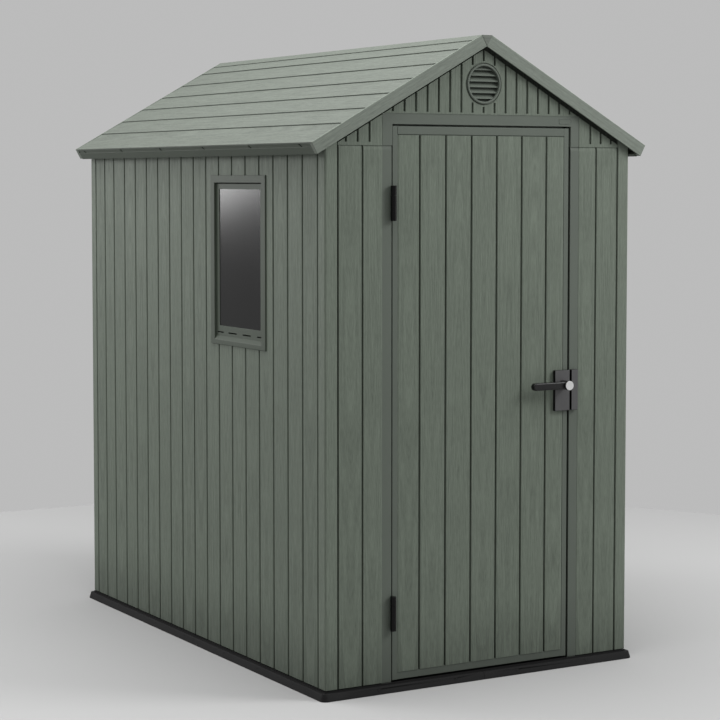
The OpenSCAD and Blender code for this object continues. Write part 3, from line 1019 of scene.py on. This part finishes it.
# The front and the rear end of each drain slot, in millimetres.
DRAIN_ENDS = ((-208, -163), (-303, -243), (-404, -347), (-487, -450))
FLANGE_ROUND = 2 * MM
ROUND_SHARE = 0.3
SILL_NOSE = 0.4 * MM
BEAD_ROUND = 1.2 * MM
BEAD_SHY = 0.2 * MM
PANE_LAP = 3 * MM
PANE_EDGE = 0.4 * MM
PANE_SHY = 0.5 * MM
PANE_IOR = 1.27
PANE_GLOSS = (0.175, 0.195)
HAZE_SCALE = 4.0
HEAD_GAP = 3.5 * MM
PANE_DARK = (0.0036, 0.0036, 0.0036)
PANE_LIGHT = (0.0044, 0.0044, 0.0044)
# A darker copy of the smooth resin's green: painted shade on the window frame, its bead and the eave
# trims.
TRIM_PAINTED_SHADE_GREEN = (0.056, 0.068, 0.053)

trim_resin = moulded("trim_resin", TRIM_PAINTED_SHADE_GREEN, roughness=0.55, specular=0.2,
                     cell=1.6 * MM, relief=0.05 * MM)
frame_low, frame_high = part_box("window_frame")
frame_face = frame_low.x
bead_x = -wall_x + BEAD_SET


def window_ring(levels):
    """A rectangular frame whose section runs through levels: insets at both sides, head, foot; x."""
    rings = []
    for side, head, foot, x in levels:
        corners = rectangle(frame_low.y + side, frame_low.z + foot,
                            frame_high.y - side, frame_high.z - head)
        rings.append([(x, y, z) for y, z in corners])
    return hooped(rings)


lap = WINDOW_LAP + SLEEVE_PLAY
flange_ease = ROUND_SHARE * FLANGE_ROUND
inner_ease = ROUND_SHARE * MM
window_frame = shape("window_frame_moulding", [window_ring([
    (0, 0, 0, -wall_x),
    (0, 0, 0, frame_face + FLANGE_ROUND),
    (*[flange_ease] * 3, frame_face + flange_ease),
    (*[FLANGE_ROUND] * 3, frame_face),
    (FLANGE_SIDE - MM, FLANGE_HEAD - MM, FLANGE_FOOT - 2 * MM, frame_face),
    (FLANGE_SIDE - inner_ease, FLANGE_HEAD - inner_ease, FLANGE_FOOT - SILL_NOSE,
     frame_face + inner_ease),
    (FLANGE_SIDE, FLANGE_HEAD, FLANGE_FOOT + MM, frame_face + MM),
    (FLANGE_SIDE, FLANGE_HEAD, FLANGE_FOOT + SILL_RISE, bead_x + MM),
    (FLANGE_SIDE, FLANGE_HEAD, FLANGE_FOOT + SILL_RISE, -wall_x + 2 * BEAD_SET),
    (lap, lap, lap, -wall_x + 2 * BEAD_SET),
    (lap, lap, lap, -wall_x),
])])
dress(window_frame, trim_resin, "smooth_resin", "shed", "window_frame")
bead_side = FLANGE_SIDE + BEAD_WIDTH
bead_head = FLANGE_HEAD + BEAD_WIDTH
bead_foot = BEAD_FOOT - frame_low.z
bead_back = frame_high.x
bead_lap = FLANGE_HEAD + HEAD_GAP
bead_face = bead_x + BEAD_SHY
bead_ease = BEAD_ROUND / 3
bead_edges = (bead_side, bead_head, bead_foot)
bead = shape("window_bead", [window_ring([
    (lap, bead_lap, lap, bead_face),
    (*(edge - BEAD_ROUND for edge in bead_edges), bead_face),
    (*(edge - bead_ease for edge in bead_edges), bead_face + bead_ease),
    (bead_side, bead_head, bead_foot, bead_face + BEAD_ROUND),
    (bead_side, bead_head, bead_foot, bead_back),
    (lap, bead_lap, lap, bead_back),
])])
carve(bead, [block((bead_x - MM, start * MM, DRAIN_Z - DRAIN_HEIGHT / 2),
                   (bead_back + MM, end * MM, DRAIN_Z + DRAIN_HEIGHT / 2))
             for start, end in DRAIN_ENDS])
dress(bead, trim_resin, "smooth_resin", "shed")

pane_finish, wire = new_finish("clear_pane")
spot = wire.node("TexCoord", {}, {}, "Object")
haze = wire.node("TexNoise", {}, {"Vector": spot, "Scale": HAZE_SCALE, "Detail": 1.0})
close_finish(wire, {
    "Base Color": haze.spread(NOISE_LOW, NOISE_HIGH).between(PANE_DARK, PANE_LIGHT),
    "Roughness": haze.spread(NOISE_LOW, NOISE_HIGH, *PANE_GLOSS),
    "IOR": PANE_IOR,
})
pane = shape("window_pane", [block(
    (bead_x + PANE_SET, frame_low.y + bead_side - PANE_LAP, frame_low.z + bead_foot - PANE_LAP),
    (bead_back - PANE_SHY, frame_high.y - bead_side + PANE_LAP, frame_high.z - bead_head + PANE_LAP))])
ease(pane, PANE_EDGE)
dress(pane, pane_finish, "pane", "shed", "window_glass")


# The roof: two panels of grained resin moulded as seven lapped courses. Each course's lower
# edge stands proud of the next one down. The skin runs on over the trims at the eaves and
# verges, and the panel under it lies between them.

COURSE_FIRST = 123 * MM
COURSE_PITCH = 96.3 * MM
COURSE_EDGES = 6
COURSE_DROP = 3.0 * MM
COURSE_CHANNEL = 3.9 * MM
COURSE_FACE = 0.4 * MM
COURSE_STEP = (
    (-4.0 * MM, COURSE_DROP),
    (-1.6 * MM, COURSE_CHANNEL),
    (0.6 * MM, COURSE_CHANNEL),
    (0.0, COURSE_FACE + MM),
    (0.3 * MM, COURSE_FACE + 0.3 * MM),
    (MM, COURSE_FACE),
)
EAVE_START = 0.3 * MM
EAVE_NOSE = ((EAVE_START, 2 * MM), (0.6 * MM, 0.9 * MM), (1.5 * MM, COURSE_FACE))
SKIN = 5.4 * MM
SLAB_THICK = 22 * MM
CORE_START = 16 * MM
VERGE_LIP = 5.5 * MM
CAP_WING = 34 * MM
ROOF_GREEN = (0.1015, 0.1145, 0.098)

roof_x, roof_y, ridge_z = cad_box[1]
eave_z = ridge_z - (roof_x - RIDGE_HALF) * math.tan(ROOF_PITCH)
verge = roof_y - VERGE_LIP
cap_up = (roof_x - RIDGE_HALF) / math.cos(ROOF_PITCH) - CAP_WING


def slope_spot(sign, up, down, y):
    """A place on a slope: up it from the eave, and down square to it."""
    x = roof_x - up * math.cos(ROOF_PITCH) - down * math.sin(ROOF_PITCH)
    z = eave_z + up * math.sin(ROOF_PITCH) - down * math.cos(ROOF_PITCH)
    return sign * x, y, z


def up_slope(sign):
    return Vector((-sign * math.cos(ROOF_PITCH), 0, math.sin(ROOF_PITCH)))


roof_resin = grained("roof_resin", ROOF_GREEN)
course_edges = [COURSE_FIRST + COURSE_PITCH * k for k in range(COURSE_EDGES)]
skin_outline = list(EAVE_NOSE)
for edge in course_edges:
    skin_outline += [(edge + up, down) for up, down in COURSE_STEP]
skin_outline += [(cap_up, COURSE_DROP), (cap_up, SKIN), (EAVE_START, SKIN)]
core_outline = rectangle(CORE_START, SKIN, cap_up, SLAB_THICK)

for sign, node in ((-1, "roof_left"), (1, "roof_right")):
    roof_place = partial(slope_spot, sign)
    panel = shape(node + "_courses", [prism(skin_outline, roof_place, -verge, verge),
                                      prism(core_outline, roof_place, -wall_y, wall_y)])
    eave = Vector(roof_place(0, 0, 0)).dot(up_slope(sign))
    lay_grain(panel, (0, 1, 0), up_slope(sign), [eave] + [eave + edge for edge in course_edges])
    dress(panel, roof_resin, "roof_resin", "shed", node)


# The eave trims: smooth resin strips that close the ends of the roof panels along both
# sides. A narrow upper band carries the slanted slots of the clips that hold them.

TRIM_THICK = 16 * MM
TRIM_DEEP = 43 * MM
BAND_TOP = SKIN + 0.4 * MM
BAND_END = 17 * MM
BAND_SET = 2.2 * MM
FACE_PLAY = 0.7 * MM
TRIM_ROUNDING = [0, 0.4 * MM, 0.5 * MM, 1.2 * MM, 0.5 * MM, 0]
CLIP_COUNT = 6
CLIP_FIRST = -836 * MM
CLIP_PITCH = 337 * MM
CLIP_LENGTH = 12 * MM
CLIP_HEIGHT = 10 * MM
CLIP_WIDTH = 10 * MM
CLIP_DEEP = 13 * MM

trim_outline = rounded(
    [(BAND_SET, BAND_TOP), (BAND_SET, BAND_END), (FACE_PLAY, BAND_END + MM),
     (FACE_PLAY, TRIM_DEEP), (TRIM_THICK, TRIM_DEEP), (TRIM_THICK, BAND_TOP)],
    TRIM_ROUNDING)
slot_top = BAND_TOP + MM
slot_foot = slot_top + CLIP_HEIGHT
half = CLIP_WIDTH / 2
slots = []
for k in range(CLIP_COUNT):
    rear_y = CLIP_FIRST + k * CLIP_PITCH + CLIP_LENGTH / 2
    front_y = rear_y - CLIP_LENGTH
    slots.append([(slot_top, rear_y - half), (slot_top, rear_y + half),
                  (slot_foot, front_y + half), (slot_foot, front_y - half)])

for sign, node in ((-1, "eave_trim_left"), (1, "eave_trim_right")):
    def slot_place(down, y, up):
        return slope_spot(sign, up, down, y)

    trim = shape(node + "_strip", [
        prism(trim_outline, partial(slope_spot, sign), -wall_y, wall_y)])
    carve(trim, [prism(slot, slot_place, -MM, CLIP_DEEP) for slot in slots])
    # The eave trims take the darker copy of the smooth resin, painted shade.
    dress(trim, trim_resin, "smooth_resin", "shed", node)


# The ridge cap: a folded resin strip over the joint of the two roof panels, with a wedge
# at each end that fills the gap between the tops of the bargeboards.

CAP_EDGE = 1.2 * MM
CAP_BEND = 4
WEDGE_GAP = 1.8 * MM
WEDGE_EDGE = 0.4 * MM
WEDGE_PLAY = 0.1 * MM

verge_tip = eave_z + roof_x * math.tan(ROOF_PITCH) - TRIM_DEEP / math.cos(ROOF_PITCH)


def cap_line(depth):
    """The cap from wing to wing at a depth: up one slope, over the flat and down the other."""
    flat = RIDGE_HALF - depth * (1 / math.cos(ROOF_PITCH) - 1) / math.tan(ROOF_PITCH)
    crown = ridge_z - depth
    wing_x, _, wing_z = slope_spot(1, cap_up, depth, 0)
    return [(wing_x, wing_z), (flat, crown), (-flat, crown), (-wing_x, wing_z)]


def cap_outline(top, bottom, edge):
    """The cap's section between two depths below the roof's face."""
    points = cap_line(top) + cap_line(bottom)[::-1]
    return rounded(points, [edge, CAP_BEND * edge, CAP_BEND * edge, edge, 0, 0, 0, 0])


def wedge_outline(top):
    """The wedge's face up to a height: a tip at the foot that widens towards the ridge."""
    tip = verge_tip + 2 * WEDGE_GAP
    share = (top - tip) / (ridge_z - tip)
    middle = 0.5 * WEDGE_GAP
    right = middle + share * (RIDGE_HALF - WEDGE_EDGE - middle)
    left = middle + share * (WEDGE_GAP - RIDGE_HALF - middle)
    return rounded([(middle, tip), (right, top), (left, top)],
                   [WEDGE_EDGE, 2 * WEDGE_EDGE, 2 * WEDGE_EDGE])


wedge_end = wedge_outline(ridge_z)
wedge_stem = wedge_outline(ridge_z - SKIN - 3 * WEDGE_PLAY)
cap = shape("ridge_cap_strip", [
    prism(cap_outline(0.0, SKIN, CAP_EDGE), upright_place, -verge, verge),
    prism(cap_outline(SKIN, SLAB_THICK, 0), upright_place, -wall_y, wall_y),
    prism(wedge_end, upright_place, -roof_y, -verge - 2 * WEDGE_PLAY),
    prism(wedge_stem, upright_place, -verge - WEDGE_PLAY, -wall_y),
    prism(wedge_stem, upright_place, wall_y, verge + WEDGE_PLAY),
    prism(wedge_end, upright_place, verge + 2 * WEDGE_PLAY, roof_y),
])
lay_grain(cap, (0, 1, 0), (0, 0, 1))
dress(cap, roof_resin, "roof_resin", "shed", "ridge_cap")


# The bargeboards: grained resin boards that close the roof's edge on both gables, one up
# each slope. A lip along the top of each meets the roof's skin, which lies on the rest.

BOARD_EDGE = 1.3 * MM
BOARD_DEEP = 40.8 * MM
BOARD_FACE = 4.5 * MM
BOARD_HOLLOW = 26 * MM
BOARD_CAP = 12 * MM
BOARD_SHY = 0.4 * MM
BOARD_GREEN = (0.135, 0.154, 0.131)

board_back = roof_y - BOARD_FACE
hollow_top = BOARD_DEEP - BOARD_HOLLOW
board_section = rounded(
    [(roof_y, 0.0), (roof_y, BOARD_DEEP), (board_back, BOARD_DEEP), (board_back, hollow_top),
     (wall_y, hollow_top), (wall_y, SKIN), (verge, SKIN), (verge, COURSE_FACE)],
    [2 * BOARD_EDGE, BOARD_EDGE, BOARD_EDGE, 0, 0, 0, 0, 0])
end_section = rectangle(wall_y, hollow_top - MM, roof_y - MM, BOARD_DEEP - BOARD_SHY)
board_resin = grained("board_resin", BOARD_GREEN)


def board_end(y, down):
    """How far up the slope a bargeboard runs at a depth: to the wedge's side."""
    x = RIDGE_HALF * (1 - down / BOARD_DEEP)
    return (roof_x - down * math.sin(ROOF_PITCH) - x) / math.cos(ROOF_PITCH)


for right, rear, corner in CORNERS:
    node = "bargeboard_" + corner

    def board_place(y, down, up):
        return slope_spot(right, up, down, rear * y)

    board = shape(node + "_board", [prism(board_section, board_place, EAVE_START, board_end),
                                    prism(end_section, board_place, 2 * EAVE_START, BOARD_CAP)])
    lay_grain(board, up_slope(right), (0, 1, 0))
    dress(board, board_resin, "roof_resin", "shed", node)


# The door: a double-skinned resin leaf with seven upright boards raised between smooth
# stiles and a bottom rail. A separate strip is let in along the top.

STILE_HINGE = 17.5 * MM
STILE_LOCK = 20 * MM
DOOR_SET = 2.2 * MM
FIELD_FOOT = 58.7 * MM
FIELD_HEAD = 1734.5 * MM
STRIP_FOOT = 1736.5 * MM
STRIP_HEAD = 1760.8 * MM
STRIP_SET = 0.6 * DOOR_SET
DOOR_FIRST_GROOVE = -235.9 * MM
DOOR_PITCH = 95.8 * MM
DOOR_GROOVES = 6
FIELD_LEFT = (
    (0.0, 1.0 * DOOR_SET),
    (1.5 * MM, 0.75 * DOOR_SET),
    (3.5 * MM, 0.3 * DOOR_SET),
    (6.0 * MM, 0.0),
)
FIELD_RIGHT = (
    (0.0, 3.6 * DOOR_SET),
    (0.7 * MM, 3.2 * DOOR_SET),
    (1.4 * MM, 1.2 * DOOR_SET),
    (2.4 * MM, 0.7 * DOOR_SET),
    (6.0 * MM, 0.3 * DOOR_SET),
    (11.0 * MM, 0.0),
)
DOOR_ROUND = 1.5 * MM
LOCK_ROUND = 2.6 * MM
LOCK_PLAY = 1.5 * MM
BACK_SHARE = 0.5

door_low, door_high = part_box("door")
door_thick = door_high.y - door_low.y
field_left = door_low.x + STILE_HINGE
field_right = door_high.x - STILE_LOCK
door_edges = [field_left]
door_edges += [DOOR_FIRST_GROOVE + DOOR_PITCH * k for k in range(DOOR_GROOVES)]
door_edges.append(field_right)


def member(start, end, set_in, edges, place, low, high):
    """A stile or rail: its two sides, how far it is set in, its roundings, and its run."""
    section = rounded(rectangle(start, set_in, end, door_thick - DOOR_SET), edges)
    return prism(section, place, low, high)


def rail_place(z, depth, x):
    return front_place(x, depth, z)


field_face = board_line(door_edges, FIELD_LEFT, FIELD_RIGHT)
field_back = [(x, door_thick - BACK_SHARE * depth) for x, depth in reversed(field_face)]
field = shape("door_boards", [prism(field_face + field_back, front_place, FIELD_FOOT, FIELD_HEAD)])
lay_grain(field, (0, 0, 1), (1, 0, 0), door_edges, (0, -1, 0))
dress(field, green_resin, "grained_resin", "door_leaf", "door")
surround = shape("door_surround", [
    member(field_left, door_low.x, DOOR_SET, [0, DOOR_ROUND, DOOR_ROUND, 0],
           front_place, door_low.z, door_high.z),
    member(field_right, door_high.x - LOCK_PLAY, DOOR_SET, [0, LOCK_ROUND, DOOR_ROUND, 0],
           front_place, door_low.z, door_high.z),
    member(door_low.z, FIELD_FOOT, DOOR_SET, [DOOR_ROUND, 0, 0, DOOR_ROUND],
           rail_place, field_left, field_right),
    member(FIELD_HEAD, door_high.z, 2 * DOOR_SET, 0, rail_place, field_left, field_right),
    member(STRIP_FOOT, STRIP_HEAD, STRIP_SET, [MM, MM, 0, 0],
           rail_place, field_left + MM, field_right - MM),
])
dress(surround, smooth_resin, "grained_resin", "door_leaf")


# The hinges: black powder-coated steel, with three knuckles on a pin in front of the gap
# and a leaf on each side of it, screwed to the door's edge and to the jamb.

BARREL = 9 * MM
PIN = 3 * MM
PIN_PLAY = 0.05 * MM
AXIS_HOLE = 0.2 * MM
OUTER_KNUCKLE = 30 * MM
KNUCKLE_GAP = 0.3 * MM
KNUCKLE_ROUND = 0.8 * MM
LEAF_THICK = 2 * MM
LEAF_DEEP = 18 * MM
HINGE_BLACK = (0.004, 0.004, 0.004)

hinge_coat = moulded("hinge_coat", HINGE_BLACK, roughness=0.2, specular=0.13,
                     cell=0.9 * MM, relief=0.01 * MM, mottle=0.1)
joint_place = {joint["name"]: joint["pos_m"] for joint in frame["joints"]}
hinge_x, hinge_y = joint_place["door_swing"][:2]
leaf_front = hinge_y + BARREL + MM
leaf_back = leaf_front + LEAF_DEEP


def pin_place(x, y, z):
    return hinge_x + x, hinge_y + y, z


def knuckle(foot, head):
    """A tube round the pin, with rounded ends."""
    corners = rectangle(PIN, foot, BARREL, head)
    return spun(rounded(corners, [0, KNUCKLE_ROUND, KNUCKLE_ROUND, 0]), pin_place, steps=40)


def leaf_strip(left, front, back, foot, head):
    """A leaf, or a tongue that joins it to a knuckle."""
    return block((left, front, foot), (left + LEAF_THICK, back, head))


for level in ("upper", "lower"):
    low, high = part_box(f"hinge_{level}_frame")
    inner_low = low.z + OUTER_KNUCKLE
    inner_high = high.z - OUTER_KNUCKLE
    tongue_back = leaf_front + MM
    pin = rectangle(AXIS_HOLE, low.z + MM, PIN - PIN_PLAY, high.z - MM)
    frame_half = [
        knuckle(low.z, inner_low),
        knuckle(inner_high, high.z),
        spun(pin, pin_place, steps=24),
        leaf_strip(-doorway_x, leaf_front, leaf_back, low.z, high.z),
        leaf_strip(-doorway_x, hinge_y, tongue_back, low.z, inner_low),
        leaf_strip(-doorway_x, hinge_y, tongue_back, inner_high, high.z),
    ]
    foot = inner_low + KNUCKLE_GAP
    head = inner_high - KNUCKLE_GAP
    door_half = [
        knuckle(foot, head),
        leaf_strip(door_low.x - LEAF_THICK, leaf_front, leaf_back, low.z, high.z),
        leaf_strip(door_low.x - LEAF_THICK, hinge_y + PIN, tongue_back, foot, head),
    ]
    half = shape(f"hinge_{level}_jamb_half", frame_half)
    dress(half, hinge_coat, "hinge_black", "shed", f"hinge_{level}_frame")
    half = shape(f"hinge_{level}_leaf_half", door_half)
    dress(half, hinge_coat, "hinge_black", "door_leaf", f"hinge_{level}_door")


# The handle: a moulded case on the door's edge with a grey face plate whose sides are painted black as
# painted shade, a matching keeper on the jamb, and a black lever. The lever's round hub ends in a
# light grey cap, and its arm ends in a rounded tip.

PLATE_GREY = (0.060, 0.060, 0.061)
LEVER_BLACK = (0.005, 0.005, 0.005)
CAP_GREY = (0.465, 0.465, 0.465)
PLATE_EDGE = 1.5 * MM
ARM_HALF = 12 * MM
ARM_PROUD = 24 * MM
ARM_THICK = 20 * MM
ARM_EDGE = 4 * MM
HUB_PROUD = 12.3 * MM
HUB_EDGE = 0.4 * MM
STEM_PROUD = 13 * MM
STEM_RADIUS = 6 * MM
TIP_STEPS = 15
HUB_STEPS = 48
STEM_STEPS = 32
CAP_DISH = 3 * MM
CAP_RIM = 0.7 * MM
CELL = 1.2 * MM
FRONT_FACE = -0.9

plate_finish = moulded("plate_grey", PLATE_GREY, roughness=0.5, specular=0.3,
                       cell=CELL, relief=0.05 * MM, mottle=0.05)
# Black for the plates' sides and back: painted shade.
plate_side_shade_finish = moulded("case_black", LEVER_BLACK, roughness=0.5, specular=0.12,
                      cell=CELL, relief=0.05 * MM, mottle=0.1)
lever_finish = moulded("lever_black", LEVER_BLACK, roughness=0.36, specular=0.3,
                       cell=CELL, relief=0.03 * MM, mottle=0.1)
cap_finish = moulded("cap_grey", CAP_GREY, roughness=0.4, specular=0.4,
                     cell=1.4 * MM, relief=0.02 * MM, mottle=0.03)
axis_x, _, axis_z = joint_place["handle_turn"]


def coat_front(piece, finish):
    """Gives the faces that look straight out another finish; the sides keep the black, which is
    painted shade.
    """
    piece.data.materials.append(finish)
    for face in piece.data.polygons:
        if face.normal.y < FRONT_FACE:
            face.material_index = 1


def spindle_place(x, z, y):
    return axis_x + x, y, axis_z + z


for node, body in (("handle_plate", "door_leaf"), ("keeper_plate", "shed")):
    low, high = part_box(node)
    plate = shape(node + "_cover", [block(low, high)])
    ease(plate, PLATE_EDGE, steps=3)
    dress(plate, plate_side_shade_finish, "plate_grey", body, node)
    coat_front(plate, plate_finish)

lever_low, lever_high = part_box("handle_lever")
cap_low, cap_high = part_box("handle_cap")
hub = (cap_high.z - cap_low.z) / 2
arm_back = -wall_y - ARM_PROUD
tip_turns = [math.radians(90 + 180 * step / TIP_STEPS) for step in range(TIP_STEPS + 1)]
arm_outline = [(lever_low.x + ARM_HALF * (1 + math.cos(turn)), axis_z + ARM_HALF * math.sin(turn))
               for turn in tip_turns]
arm_outline += [(axis_x, axis_z - ARM_HALF), (axis_x, axis_z + ARM_HALF)]
lever = shape("handle_lever_arm", [
    prism(arm_outline, upright_place, arm_back - ARM_THICK, arm_back)])
ease(lever, ARM_EDGE, steps=4, over=60.0)
dress(lever, lever_finish, "lever_black", "lever", "handle_lever")

hub_profile = rounded(rectangle(AXIS_HOLE, lever_low.y, hub, -wall_y - HUB_PROUD),
                      [0, HUB_EDGE, MM, 0])
stem_profile = rectangle(AXIS_HOLE, -wall_y - STEM_PROUD, STEM_RADIUS, lever_high.y)
hub_piece = shape("handle_hub", [
    spun(hub_profile, spindle_place, HUB_STEPS), spun(stem_profile, spindle_place, STEM_STEPS)])
dress(hub_piece, lever_finish, "lever_black", "lever")

cap_profile = rounded([(AXIS_HOLE, cap_low.y + HUB_EDGE), (hub - CAP_DISH, cap_low.y),
                       (hub, cap_low.y), (hub, cap_high.y), (AXIS_HOLE, cap_high.y)],
                      [0, MM, CAP_RIM, 0, 0])
cap_piece = shape("handle_cap_disc", [spun(cap_profile, spindle_place, HUB_STEPS)])
dress(cap_piece, cap_finish, "cap_grey", "lever", "handle_cap")
